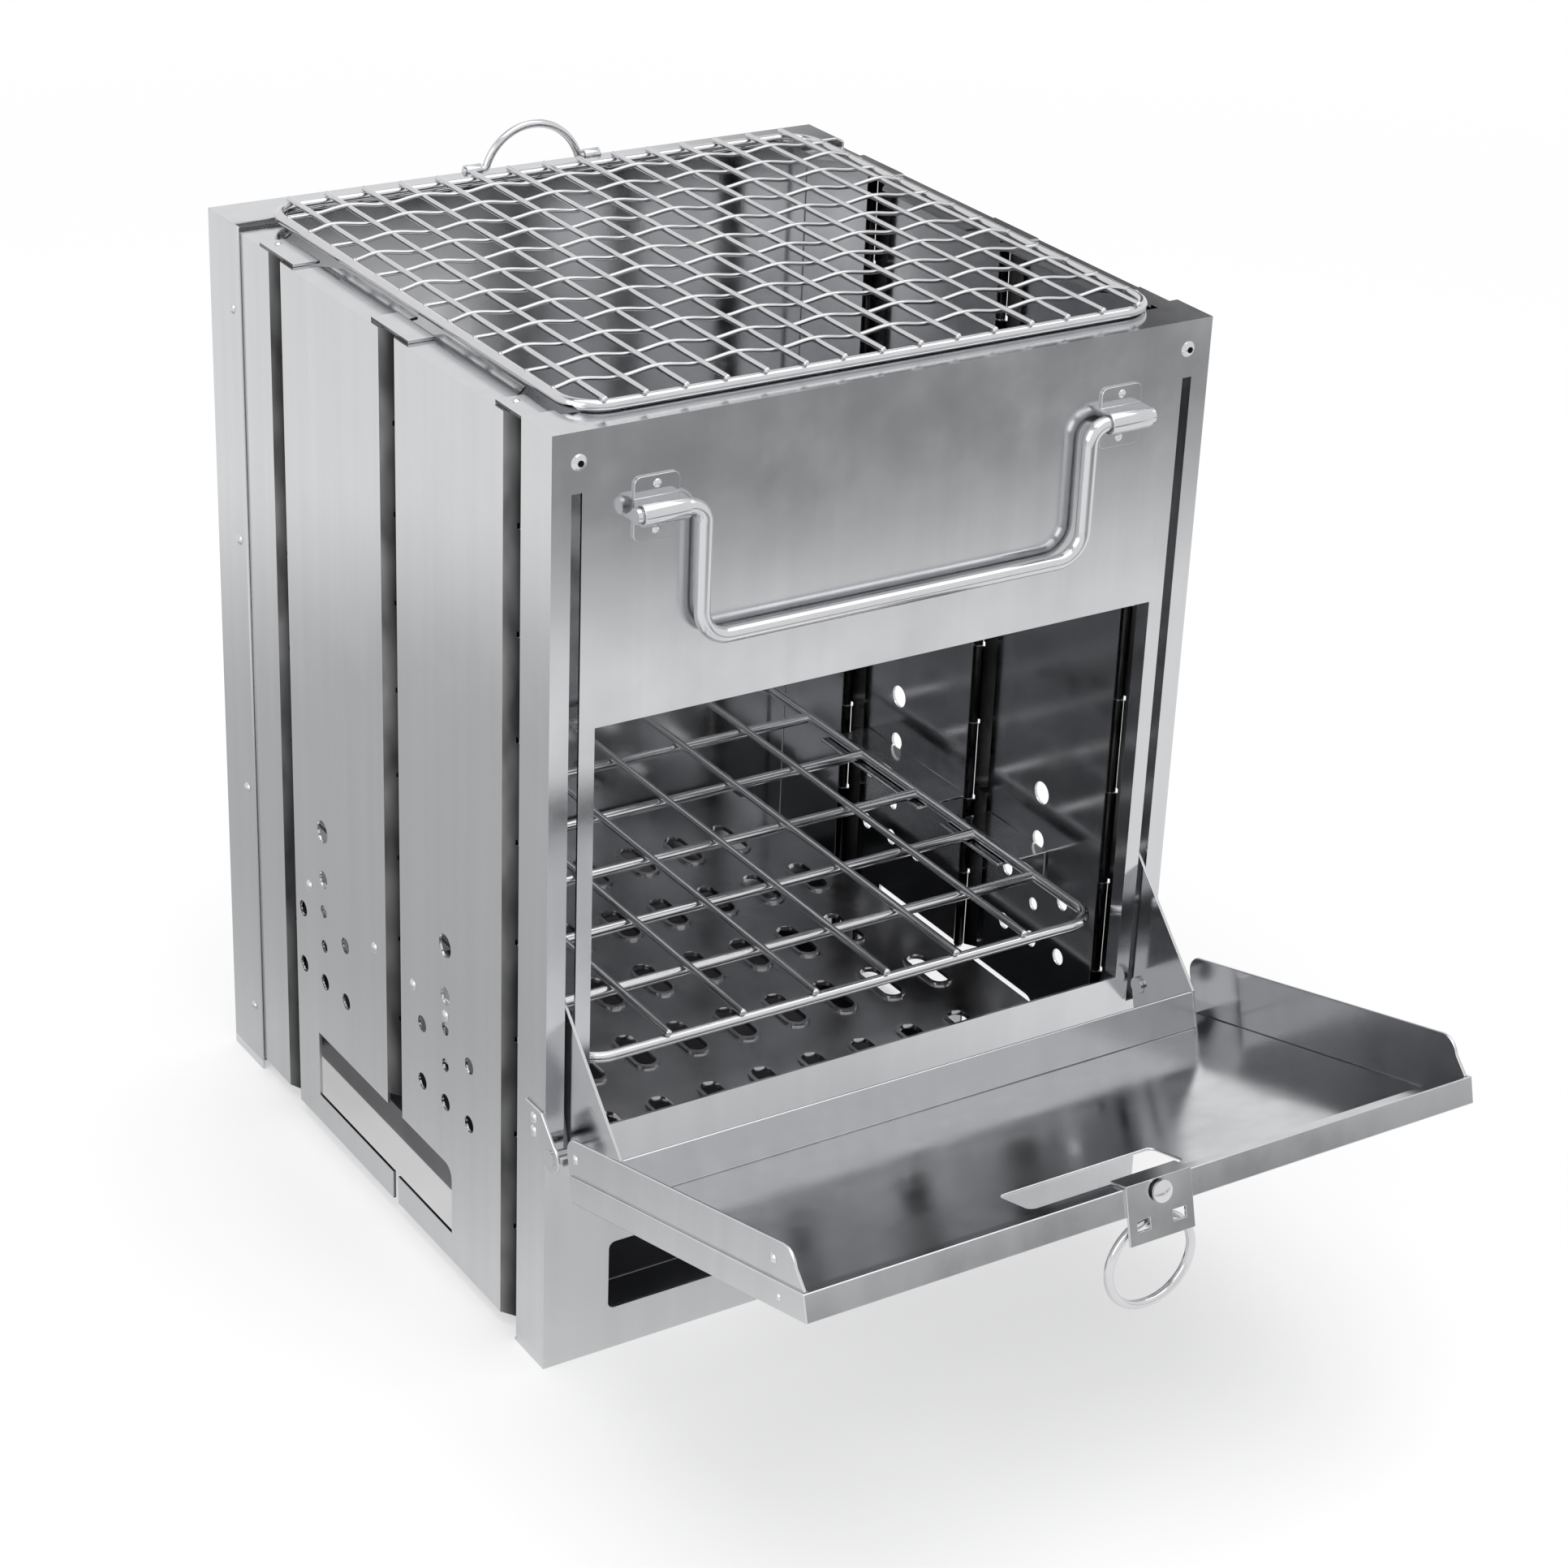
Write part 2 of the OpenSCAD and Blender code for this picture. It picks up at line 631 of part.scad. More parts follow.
// Clip folded over the lip, with a tab below it that has a window and an eye for the ring
module latch_clip() color(sheet_colour) on_door() difference() {
    low = pan_low - latch_reach;
    union() {
        block([-latch_w / 2, -door_len - sheet, low], [latch_w / 2, -door_len, pan_low + rim_h + sheet]);
        block([-latch_w / 2, -door_len - sheet, pan_low + rim_h],
            [latch_w / 2, -door_len + lip_hem + 2, pan_low + rim_h + sheet]);
        translate([0, -eye_along, eye_up]) rotate([0, 90, 0]) cylinder(r = eye_r, h = 5, center = true);
        block([-2.5, -door_len, eye_up - 1], [2.5, -eye_along, eye_up + eye_r]);
    }
    translate([0, -eye_along, eye_up]) rotate([0, 90, 0])
        cylinder(r = ring_wire_d / 2 + eye_play, h = 8, center = true);
    for (x = [-1, 1]) block([x * 5.5 - 2, -door_len - 2, eye_up - 1.5], [x * 5.5 + 2, -door_len + 0.1, eye_up + 1.5]);
}

module latch_stud() color(wire_colour) on_door() translate([0, -door_len - sheet, pan_low + rim_h - 2.6])
    rotate([90, 0, 0]) {
        cylinder(r = 1.6, h = 0.8);
        translate([0, 0, 0.8]) cylinder(r = 2.9, h = 0.7);
        translate([0, 0, 1.5]) rivet(2.9, 0.7);
    }

module pull_ring() color(wire_colour) {
    eye_y = pivot_y - eye_along * cos(door_rise) + eye_up * sin(door_rise);
    eye_z = pivot_z + eye_along * sin(door_rise) + eye_up * cos(door_rise);
    translate([0, eye_y, eye_z - ring_r]) rotate([90, 0, 0])
        rotate_extrude() translate([ring_r, 0]) circle(ring_wire_d / 2);
}

// Rounded rectangle of round wire between the middles of its sides
module wire_frame(half_x, y0, y1, corner, r) {
    for (x = [-half_x, half_x]) translate([x, y0 + corner, 0]) rotate([-90, 0, 0])
        cylinder(r = r, h = y1 - y0 - 2 * corner);
    for (y = [y0, y1]) translate([-half_x + corner, y, 0]) rotate([0, 90, 0])
        cylinder(r = r, h = 2 * (half_x - corner));
    for (c = [[1, 1, 0], [-1, 1, 90], [-1, -1, 180], [1, -1, 270]])
        translate([c[0] * (half_x - corner), c[1] > 0 ? y1 - corner : y0 + corner, 0])
            rotate([0, 0, c[2]]) rotate_extrude(angle = 90) translate([corner, 0]) circle(r);
}

module grate_rim() color(wire_colour) translate([0, 0, grate_z])
    wire_frame(grate_half_w, grate_front, grate_back, grate_corner, grate_r);

module grate_straight_wires() color(wire_colour) {
    r = grate_long_d / 2;
    for (i = [0 : grate_long_count - 1])
        translate([(i - (grate_long_count - 1) / 2) * mesh_pitch_x, grate_front - r, mesh_z]) {
            rotate([-90, 0, 0]) cylinder(r = r, h = grate_back - grate_front + 2 * r);
            sphere(r);
            translate([0, grate_back - grate_front + 2 * r, 0]) sphere(r);
        }
}

// Wire with six sides that runs along X, under each straight wire and higher between them
module crimped_wire(y) {
    r = grate_cross_d / 2;
    mid = (grate_long_count - 1) / 2;
    reach = grate_half_w / mesh_pitch_x;
    last = mid * rings_per_wire;
    along = concat([-reach], [for (i = [-last : last]) i / rings_per_wire], [reach]);
    steps = len(along) - 1;
    rings = [for (i = [0 : steps], a = [0 : 60 : 300])
        let(z = i == 0 || i == steps || (i - 1) % rings_per_wire == 0 ? crimp_low : crimp_high)
        [along[i] * mesh_pitch_x, y + r * cos(a), mesh_z + z + r * sin(a)]];
    sides = [for (i = [0 : steps - 1], k = [0 : 5]) let(a = 6 * i + k, b = 6 * i + (k + 1) % 6)
        each [[a, a + 6, b], [b, a + 6, b + 6]]];
    caps = [for (k = [1 : 4]) each [[0, k, k + 1], [6 * steps, 6 * steps + k + 1, 6 * steps + k]]];
    polyhedron(rings, concat(sides, caps));
}

module grate_crimped_wires() color(wire_colour) for (i = [0 : grate_cross_count - 1])
    crimped_wire(grate_front + 13 + i * mesh_pitch_y);

module rack_frame() color(wire_colour) translate([0, 0, rack_z])
    wire_frame(rack_half_w, rack_front, rack_back, rack_corner, rack_r);

module rack_cross_rods() color(wire_colour) for (i = [1 : 5])
    translate([0, rack_front + i * rack_cross_pitch, rack_z]) rotate([0, 90, 0])
        cylinder(r = rack_r, h = rack_w - rack_r, center = true);

module rack_thin_rods() color(wire_colour) {
    r = rack_thin_d / 2;
    z = rack_z + rack_r + r - weld_sink;
    for (i = [0 : rack_thin_count - 1])
        translate([(i - (rack_thin_count - 1) / 2) * rack_thin_pitch, rack_front - 0.4, z]) {
            rotate([-90, 0, 0]) cylinder(r = r, h = rack_back - rack_front + 0.8);
            sphere(r);
            translate([0, rack_back - rack_front + 0.8, 0]) sphere(r);
        }
}

// Middles of the fire plate's slots: rows in turn of even and odd count
function plate_slots() = [for (row = [-2 : 2]) let(count = row % 2 == 0 ? 8 : 9)
    for (i = [0 : count - 1]) [(i - (count - 1) / 2) * slot_pitch_x, row * slot_pitch_y]];

module fire_plate() color(dark_colour) translate([0, mid_y, 0]) difference() {
    union() {
        block([-plate_w / 2, -plate_half_d, plate_z], [plate_w / 2, plate_half_d, plate_z + sheet]);
        for (p = plate_slots()) translate([p[0], p[1], plate_z]) linear_extrude(sheet + emboss)
            rounded(slot_w + 2 * emboss_w, slot_l + 2 * emboss_w, slot_w / 2 + emboss_w - 0.01);
    }
    for (p = plate_slots()) translate([p[0], p[1], plate_z - 1]) linear_extrude(sheet + emboss + 2)
        rounded(slot_w, slot_l, slot_w / 2 - 0.01);
}

module ash_tray() color(dark_colour) translate([0, mid_y, sheet + tray_lift]) difference() {
    d = body_d / 2 - tray_gap;
    block([-tray_w / 2, -d, 0], [tray_w / 2, d, tray_h]);
    block([-tray_w / 2 + sheet, -d + sheet, sheet], [tray_w / 2 - sheet, d - sheet, tray_h + 1]);
}

rear_pan();
hinge_strip(-1);  // left_hinge_strip
hinge_strip(1);  // right_hinge_strip
rear_plate_ledge();
rear_rivets();
wall_hinge_pin(-1, rear_line);  // left_rear_hinge_pin
wall_hinge_pin(1, rear_line);  // right_rear_hinge_pin
rear_loop_clips();
rear_loop();
rear_wall(-1);  // left_rear_wall
rack_rail(-1, middle_line + rail_gap, rear_line - valley - 3);  // left_rear_rail
wall_rivets(-1, [middle_line + 12, rear_line - 14]);  // left_rear_rivets
wall_hinge_pin(-1, middle_line);  // left_middle_hinge_pin
front_wall(-1);  // left_front_wall
rack_rail(-1, rail_front, middle_line - rail_gap);  // left_front_rail
wall_rivets(-1, [rail_front + 5, middle_line - 12]);  // left_front_rivets
wall_hinge_pin(-1, front_line);  // left_front_hinge_pin
rear_wall(1);  // right_rear_wall
rack_rail(1, middle_line + rail_gap, rear_line - valley - 3);  // right_rear_rail
wall_rivets(1, [middle_line + 12, rear_line - 14]);  // right_rear_rivets
wall_hinge_pin(1, middle_line);  // right_middle_hinge_pin
front_wall(1);  // right_front_wall
rack_rail(1, rail_front, middle_line - rail_gap);  // right_front_rail
wall_rivets(1, [rail_front + 5, middle_line - 12]);  // right_front_rivets
wall_hinge_pin(1, front_line);  // right_front_hinge_pin
front_pan();
front_plate_ledge();
front_rivets();
handle_clip(-1);  // left_handle_clip
handle_clip(1);  // right_handle_clip
carry_handle();
door_bracket(-1);  // left_door_bracket
door_bracket(1);  // right_door_bracket
door_pivot_pins();
door_pan();
door_wing(-1);  // left_door_wing
door_wing(1);  // right_door_wing
door_sill_strip();
door_cheek(-1);  // left_door_cheek
door_cheek(1);  // right_door_cheek
door_rivets();
latch_clip();
latch_stud();
pull_ring();
grate_rim();
grate_straight_wires();
grate_crimped_wires();
rack_frame();
rack_cross_rods();
rack_thin_rods();
fire_plate();
ash_tray();
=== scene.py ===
import json
import math

import bmesh
import bpy
from mathutils import Matrix, Vector


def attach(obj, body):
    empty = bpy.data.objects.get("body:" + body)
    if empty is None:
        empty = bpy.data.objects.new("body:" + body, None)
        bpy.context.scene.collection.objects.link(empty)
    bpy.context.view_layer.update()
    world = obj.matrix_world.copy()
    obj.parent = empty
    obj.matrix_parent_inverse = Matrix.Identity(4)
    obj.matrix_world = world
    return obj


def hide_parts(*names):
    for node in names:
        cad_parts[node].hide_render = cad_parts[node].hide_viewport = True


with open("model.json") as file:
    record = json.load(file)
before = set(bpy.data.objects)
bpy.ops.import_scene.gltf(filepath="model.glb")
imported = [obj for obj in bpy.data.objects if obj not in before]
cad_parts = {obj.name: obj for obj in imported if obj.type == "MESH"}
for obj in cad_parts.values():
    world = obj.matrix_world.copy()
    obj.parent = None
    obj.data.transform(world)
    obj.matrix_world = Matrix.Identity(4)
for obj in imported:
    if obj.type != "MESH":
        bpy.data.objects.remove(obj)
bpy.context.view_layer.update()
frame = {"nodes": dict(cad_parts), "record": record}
nodes = frame["nodes"]
mm = 0.001
print("frame loaded:", len(nodes), "nodes")


def addObject(name, data):
    thing = bpy.data.objects.new(name, data)
    bpy.context.scene.collection.objects.link(thing)
    return thing


# How the photograph was taken: place in metres, angles in degrees, lens and sensor in millimetres

camera = {
    "place": (-0.4909, -0.7054, 0.5776),
    "turn": 33.17,      # to the right of straight ahead
    "down": 26.29,
    "lean": 2.41,
    "lens": 82.57,
    "sensor": 36,
    "near": 0.01,
    "far": 50,
}


def setCamera(spec):
    turn, down, lean = (math.radians(spec[k]) for k in ("turn", "down", "lean"))
    ahead = Vector((math.sin(turn) * math.cos(down), math.cos(turn) * math.cos(down), -math.sin(down)))
    level = Vector((math.cos(turn), -math.sin(turn), 0))
    upright = level.cross(ahead)
    right = level * math.cos(lean) + upright * math.sin(lean)
    up = right.cross(ahead)
    data = bpy.data.cameras.new("photoCamera")
    data.lens = spec["lens"]
    data.sensor_width = spec["sensor"]
    data.clip_start = spec["near"]
    data.clip_end = spec["far"]
    cam = addObject("photoCamera", data)
    cam.matrix_world = Matrix((
        (right.x, up.x, -ahead.x, spec["place"][0]),
        (right.y, up.y, -ahead.y, spec["place"][1]),
        (right.z, up.z, -ahead.z, spec["place"][2]),
        (0, 0, 0, 1),
    ))
    bpy.context.scene.camera = cam


setCamera(camera)
print("camera set")


# Materials

# sRGB hex to linear light
def linear(hexColour):
    parts = [int(hexColour[i:i + 2], 16) / 255 for i in (1, 3, 5)]
    return tuple(c / 12.92 if c <= 0.04045 else ((c + 0.055) / 1.055) ** 2.4 for c in parts) + (1,)


def addNode(tree, kind, settings=None, links=None):
    made = tree.nodes.new(kind)
    for name, value in (settings or {}).items():
        if isinstance(name, int) or name in made.inputs:
            made.inputs[name].default_value = value
        else:
            setattr(made, name, value)
    for name, source in (links or {}).items():
        tree.links.new(source, made.inputs[name])
    return made


def startMaterial(name):
    material = bpy.data.materials.new(name)
    material.use_nodes = True
    tree = material.node_tree
    tree.nodes.clear()
    return material, tree


# Noise whose cells are as wide, deep and high as the three sizes say, mapped from its span to the two tones
def cloudyTones(tree, place, sizes, detail, span, tones):
    cells = addNode(tree, "ShaderNodeMapping", {"Scale": [1 / size for size in sizes]}, {"Vector": place})
    noise = addNode(tree, "ShaderNodeTexNoise", {"Scale": 1.0, "Detail": detail},
                    {"Vector": cells.outputs["Vector"]})
    made = addNode(tree, "ShaderNodeMapRange", {"From Min": span[0], "From Max": span[1],
                                                "To Min": tones[0], "To Max": tones[1]},
                   {"Value": noise.outputs["Fac"]})
    return made.outputs["Result"]


# What all the stainless steel has in common

steel = {
    # Rolled sheet is never quite flat: slow waves bend what it mirrors
    "wave": 71.4286 * mm,
    "waveHeight": 2 * mm,
    # Handling haze: soft cloudy patches
    "haze": 22.2222 * mm,
    # Polishing lines: the real ones are too fine to show, so these are drawn 0.4 mm wide
    "line": (0.4 * mm, 0.4 * mm, 16.6667 * mm),
    "lineDepth": 0.1 * mm,
    # Faint upright streaks of the rolling, nearly as long as the sheet
    "streak": (6.25 * mm, 6.25 * mm, 200 * mm),
    "streakTone": (0.965, 1.02),
    # The noise hardly ever leaves this span
    "span": (0.3, 0.7),
}


def polishedSteel(name, colour, roughness, wave, grain):
    material, tree = startMaterial(name)
    place = addNode(tree, "ShaderNodeTexCoord").outputs["Object"]
    slow = addNode(tree, "ShaderNodeTexNoise", {"Scale": 1 / steel["wave"], "Detail": 1.0}, {"Vector": place})
    bend = addNode(tree, "ShaderNodeBump", {"Strength": wave, "Distance": steel["waveHeight"]},
                   {"Height": slow.outputs["Fac"]})
    along = addNode(tree, "ShaderNodeMapping", {"Scale": [1 / size for size in steel["line"]]},
                    {"Vector": place})
    lines = addNode(tree, "ShaderNodeTexNoise", {"Scale": 1.0, "Detail": 2.0},
                    {"Vector": along.outputs["Vector"]})
    scratch = addNode(tree, "ShaderNodeBump", {"Strength": grain, "Distance": steel["lineDepth"]},
                      {"Height": lines.outputs["Fac"], "Normal": bend.outputs["Normal"]})
    haze = cloudyTones(tree, place, [steel["haze"]] * 3, 5.0, steel["span"], roughness)
    streaks = cloudyTones(tree, place, steel["streak"], 3.0, steel["span"], steel["streakTone"])
    # Inputs 6 and 7 are the two colours of the mix, and output 2 is the mixed colour
    tone = addNode(tree, "ShaderNodeMix",
                   {"data_type": "RGBA", "blend_type": "MULTIPLY", 0: 1.0, 6: linear(colour)}, {7: streaks})
    shader = addNode(tree, "ShaderNodeBsdfPrincipled", {"Metallic": 1.0},
                     {"Base Color": tone.outputs[2], "Roughness": haze, "Normal": scratch.outputs["Normal"]})
    addNode(tree, "ShaderNodeOutputMaterial", None, {"Surface": shader.outputs["BSDF"]})
    return material


# The same sheet inside a hinge's groove, with painted shade: its colour is darkened as if it mirrored the
# dark of the gap

fold = {
    "depth": (0.0971, 0.0998),      # from the oven's middle: the bottom of the groove and its lip
    "tone": (0.02, 0.17),           # painted shade: black at the bottom, mid grey at the lip
    "knuckleReflection": (11.1111 * mm, 11.1111 * mm, 25 * mm),    # painted reflections of the knuckles down the groove
    "knuckleReflectionSpan": (0.35, 0.65),
    "knuckleReflectionTone": (0.45, 1.3),
}


def foldedSteel(flat, name):
    material = flat.copy()
    material.name = name
    tree = material.node_tree
    place = next(n for n in tree.nodes if n.type == "TEX_COORD").outputs["Object"]
    shader = next(n for n in tree.nodes if n.type == "BSDF_PRINCIPLED")
    across = addNode(tree, "ShaderNodeSeparateXYZ", None, {"Vector": place})
    away = addNode(tree, "ShaderNodeMath", {"operation": "ABSOLUTE"}, {0: across.outputs["X"]})
    slope = addNode(tree, "ShaderNodeMapRange", {"From Min": fold["depth"][0], "From Max": fold["depth"][1],
                                                 "To Min": fold["tone"][0], "To Max": fold["tone"][1]},
                    {"Value": away.outputs[0]})
    # Painted reflections of the knuckles: cloudy lighter and darker patches down the groove
    knuckleReflection = cloudyTones(tree, place, fold["knuckleReflection"], 2.0, fold["knuckleReflectionSpan"], fold["knuckleReflectionTone"])
    both = addNode(tree, "ShaderNodeMath", {"operation": "MULTIPLY"}, {0: slope.outputs["Result"], 1: knuckleReflection})
    tree.links.new(both.outputs[0], shader.inputs["Base Color"])
    return material


# Body and door: a soft mirror that keeps long grey gradients
mirrorSheet = polishedSteel("mirrorRolledStainless", "#cbccce", roughness=(0.10, 0.20), wave=0.12, grain=0.04)
# Rods and rivets: brighter, with crisp light and dark edges along each wire
brightWire = polishedSteel("electropolishedWire", "#cfcfd1", roughness=(0.10, 0.20), wave=0.03, grain=0.03)
# Ash tray: dull, and darker with painted shade, so that the vents look deep
shadedTraySheet = polishedSteel("ashTrayStainless", "#77777a", roughness=(0.26, 0.42), wave=0.10, grain=0.06)
# Hinge grooves: painted shade makes nearly black lines down the sides
foldShade = foldedSteel(mirrorSheet, "stainlessInFold")
# Fire plate and its ledges: bright but uneven, with wavy reflections round the slots
fireSheet = polishedSteel("plainRolledStainless", "#bcbcbe", roughness=(0.12, 0.24), wave=0.25, grain=0.08)
print("materials made")


# CAD nodes that only need their finish

finishes = {
    "polished_sheet": mirrorSheet,
    "polished_wire": brightWire,
    "fire_metal": fireSheet,
}
record = frame["record"]
slotOf = {s["node"]: s["material_slot"] for s in record["subparts"]}
bodyOf = {n: body for body, held in record["behaviour"]["bodies"].items() for n in held}


def dress(thing, material):
    thing.data.materials.clear()
    thing.data.materials.append(material)


for name, node in nodes.items():
    dress(node, finishes[slotOf[name]])
print("nodes dressed")


def meshFrom(bm, name):
    mesh = bpy.data.meshes.new(name)
    bm.to_mesh(mesh)
    bm.free()
    return mesh


def addPiece(name, mesh, body, node, material):
    thing = addObject(name, mesh)
    dress(thing, material)
    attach(thing, body)
    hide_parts(node)
    return thing


# Sheet pieces get their rounded bends and broken edges: the mesh of the CAD node, merged and bevelled.
# Angles are in degrees: faces in one plane within flat are joined, edges over sharp are broken, and a bend
# between faint and curve is a step of a rounded one.

sheetEdges = {
    "edge": 0.3 * mm,
    "segments": 2,
    "merge": 0.002 * mm,
    "flat": 0.5,
    "faint": 1.146,
    "curve": 26,
    "sharp": 35,
}
hingeLines = {
    "places": (20 * mm, 88.5 * mm, 157 * mm),
    "reach": 4.55 * mm,
    "inner": 90 * mm,
    "outer": 100 * mm,
    "skin": 0.3 * mm,
    "steep": 0.5,       # only faces that stand upright are in the fold, not the sheet's ends
}


def roundOnlyCurves(bm):
    faint, curve = (math.radians(sheetEdges[k]) for k in ("faint", "curve"))
    for face in bm.faces:
        bends = [e.calc_face_angle(0) for e in face.edges if len(e.link_faces) == 2]
        face.smooth = len(face.verts) == 4 and sum(faint < b < curve for b in bends) == 2


def inHingeFold(face):
    spot = face.calc_center_median()
    out = abs(spot.x)
    near = min(abs(spot.y - line) for line in hingeLines["places"]) < hingeLines["reach"]
    sunk = hingeLines["inner"] < out and hingeLines["outer"] - out > hingeLines["skin"]
    return near and sunk and abs(face.normal.z) < hingeLines["steep"]


def breakEdges(node, material, edge, segments):
    bm = bmesh.new()
    bm.from_mesh(nodes[node].data)
    bmesh.ops.remove_doubles(bm, verts=bm.verts, dist=sheetEdges["merge"])
    flat, limit = (math.radians(sheetEdges[k]) for k in ("flat", "sharp"))
    bmesh.ops.dissolve_limit(bm, angle_limit=flat, verts=bm.verts, edges=bm.edges)
    roundOnlyCurves(bm)
    sharp = [e for e in bm.edges if len(e.link_faces) == 2 and e.calc_face_angle(0) > limit]
    rims = bmesh.ops.bevel(bm, geom=sharp, offset=edge, offset_type="OFFSET", segments=segments, profile=0.5,
                           affect="EDGES", clamp_overlap=True, material=-1)["faces"]
    for face in rims:
        face.smooth = True
    bm.faces.index_update()
    # Faces inside the hinge grooves get the second material, foldShade, with its painted shade
    folded = [int(inHingeFold(face)) for face in bm.faces]
    thing = addPiece(node + "_worked", meshFrom(bm, node + "Worked"), bodyOf[node], node, material)
    thing.data.materials.append(foldShade)
    thing.data.polygons.foreach_set("material_index", folded)


# The fire plate's slots are pressed, so their rims are rounder
pressed = {"edge": 0.35 * mm, "segments": 3}
for name in [n for n, s in slotOf.items() if s == "polished_sheet"]:
    breakEdges(name, mirrorSheet, sheetEdges["edge"], sheetEdges["segments"])
breakEdges("ash_tray", shadedTraySheet, sheetEdges["edge"], sheetEdges["segments"])
breakEdges("rear_plate_ledge", fireSheet, sheetEdges["edge"], sheetEdges["segments"])
breakEdges("front_plate_ledge", fireSheet, sheetEdges["edge"], sheetEdges["segments"])
breakEdges("fire_plate", fireSheet, pressed["edge"], pressed["segments"])
print("sheet pieces worked")


# Crimped wires of the grate: round wire bent over one straight wire and under the next

crimped = {
    "count": 12,
    "straight": 15,
    "halfW": 88 * mm,
    "inset": 7 * mm,        # from the rim's middle to the first straight wire
    "firstY": 22 * mm,
    "lastY": 173 * mm,
    "level": 273.5 * mm,
    "wire": 0.65 * mm,
    "rise": 0.65 * mm,
    "ringsPerWire": 8,
    "sides": 10,
}


def edgesAmong(ring):
    return [e for e in {e for v in ring for e in v.link_edges} if all(v in ring for v in e.verts)]


def sweep(bm, spots, radius, sides):
    ring = None
    for number, spot in enumerate(spots):
        before = spots[max(number - 1, 0)]
        after = spots[min(number + 1, len(spots) - 1)]
        turn = (after - before).to_track_quat("Z", "Y").to_matrix().to_4x4()
        place = Matrix.Translation(spot) @ turn
        if ring is None:
            ring = bmesh.ops.create_circle(bm, cap_ends=True, radius=radius, segments=sides,
                                           matrix=place)["verts"]
        else:
            made = bmesh.ops.extrude_edge_only(bm, edges=edgesAmong(ring))["geom"]
            ring = [g for g in made if isinstance(g, bmesh.types.BMVert)]
            bmesh.ops.transform(bm, matrix=place @ last.inverted(), verts=ring)
        last = place
    bmesh.ops.holes_fill(bm, edges=edgesAmong(ring), sides=0)


def roundMesh(bm, name):
    bmesh.ops.recalc_face_normals(bm, faces=bm.faces)
    for face in bm.faces:
        face.smooth = len(face.verts) < 5
    return meshFrom(bm, name)


def crimpedWires(spec):
    bm = bmesh.new()
    mid = (spec["straight"] - 1) / 2
    pitch = (spec["halfW"] - spec["inset"]) / mid
    reach = spec["halfW"] / pitch
    steps = int(2 * reach * spec["ringsPerWire"])
    for row in range(spec["count"]):
        y = spec["firstY"] + (spec["lastY"] - spec["firstY"]) * row / (spec["count"] - 1)
        spots = []
        for step in range(steps + 1):
            s = -reach + 2 * reach * step / steps
            inner = max(-mid, min(mid, s))
            wave = math.sin(math.pi * (inner + mid + row % 2 + 0.5))
            # Past the last straight wire the end dips smoothly to the rim
            out = (abs(s) - abs(inner)) / (reach - mid)
            drop = out * out * (3 - 2 * out)
            spots.append(Vector((s * pitch, y, spec["level"] + spec["rise"] * (wave * (1 - drop) - drop))))
        sweep(bm, spots, spec["wire"], spec["sides"])
    mesh = roundMesh(bm, "crimpedWires")
    addPiece("grate_crimped_wires_round", mesh, "grate", "grate_crimped_wires", brightWire)


crimpedWires(crimped)
print("grate wires crimped")


# Painted shade in the middles of the two hollow rivets in the front sheet's upper corners: dark discs stand
# in for their open holes

rivetWells = {
    "x": 92.5 * mm,
    "z": 262 * mm,
    "headTop": 1.0 * mm,
    "proud": 0.02 * mm,
    "radius": 0.85 * mm,
    "deep": 0.25 * mm,
    "sides": 24,
}


def shadeRivetMiddles(spec):
    bm = bmesh.new()
    y = -spec["headTop"] - spec["proud"] + spec["deep"] / 2
    for side in (-1, 1):
        turned = Matrix.Rotation(math.radians(90), 4, "X")
        place = Matrix.Translation((side * spec["x"], y, spec["z"])) @ turned
        bmesh.ops.create_cone(bm, cap_ends=True, segments=spec["sides"], radius1=spec["radius"],
                              radius2=spec["radius"], depth=spec["deep"], matrix=place)
    thing = addObject("front_rivet_middles", roundMesh(bm, "rivetMiddles"))
    dress(thing, foldShade)
    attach(thing, "front")


shadeRivetMiddles(rivetWells)
print("hollow rivets opened")


# Floor and backdrop

studio = {
    "floorColour": "#f6f6f6",
    "floorSize": 30.0,
    "ownWhite": 0.45,           # the paper's own white where the shadow falls: half of the shadow stays
    "whiteOut": (0.4, 1.5),     # metres from the oven over which the paper runs out into the white backdrop
    "skyLevel": 0.75,           # what the backdrop lights with; it is seen as pure white
}


def addPlane(name, size, material):
    bm = bmesh.new()
    bmesh.ops.create_grid(bm, x_segments=1, y_segments=1, size=0.5)
    bmesh.ops.scale(bm, verts=bm.verts, vec=(size[0], size[1], 1))
    plane = addObject(name, meshFrom(bm, name))
    dress(plane, material)
    return plane


# 1 where something is seen directly or in the metal, and 0 where it only lights
def seenRays(tree):
    path = addNode(tree, "ShaderNodeLightPath")
    seen = addNode(tree, "ShaderNodeMath", {"operation": "MAXIMUM"},
                   {0: path.outputs["Is Camera Ray"], 1: path.outputs["Is Glossy Ray"]})
    return seen.outputs[0]


# Smooth change from the first level to the second, between two distances from the middle
def fadeOut(tree, place, distances, levels):
    away = addNode(tree, "ShaderNodeVectorMath", {"operation": "LENGTH"}, {0: place})
    made = addNode(tree, "ShaderNodeMapRange",
                   {"interpolation_type": "SMOOTHSTEP", "From Min": distances[0], "From Max": distances[1],
                    "To Min": levels[0], "To Max": levels[1]}, {"Value": away.outputs["Value"]})
    return made.outputs["Result"]


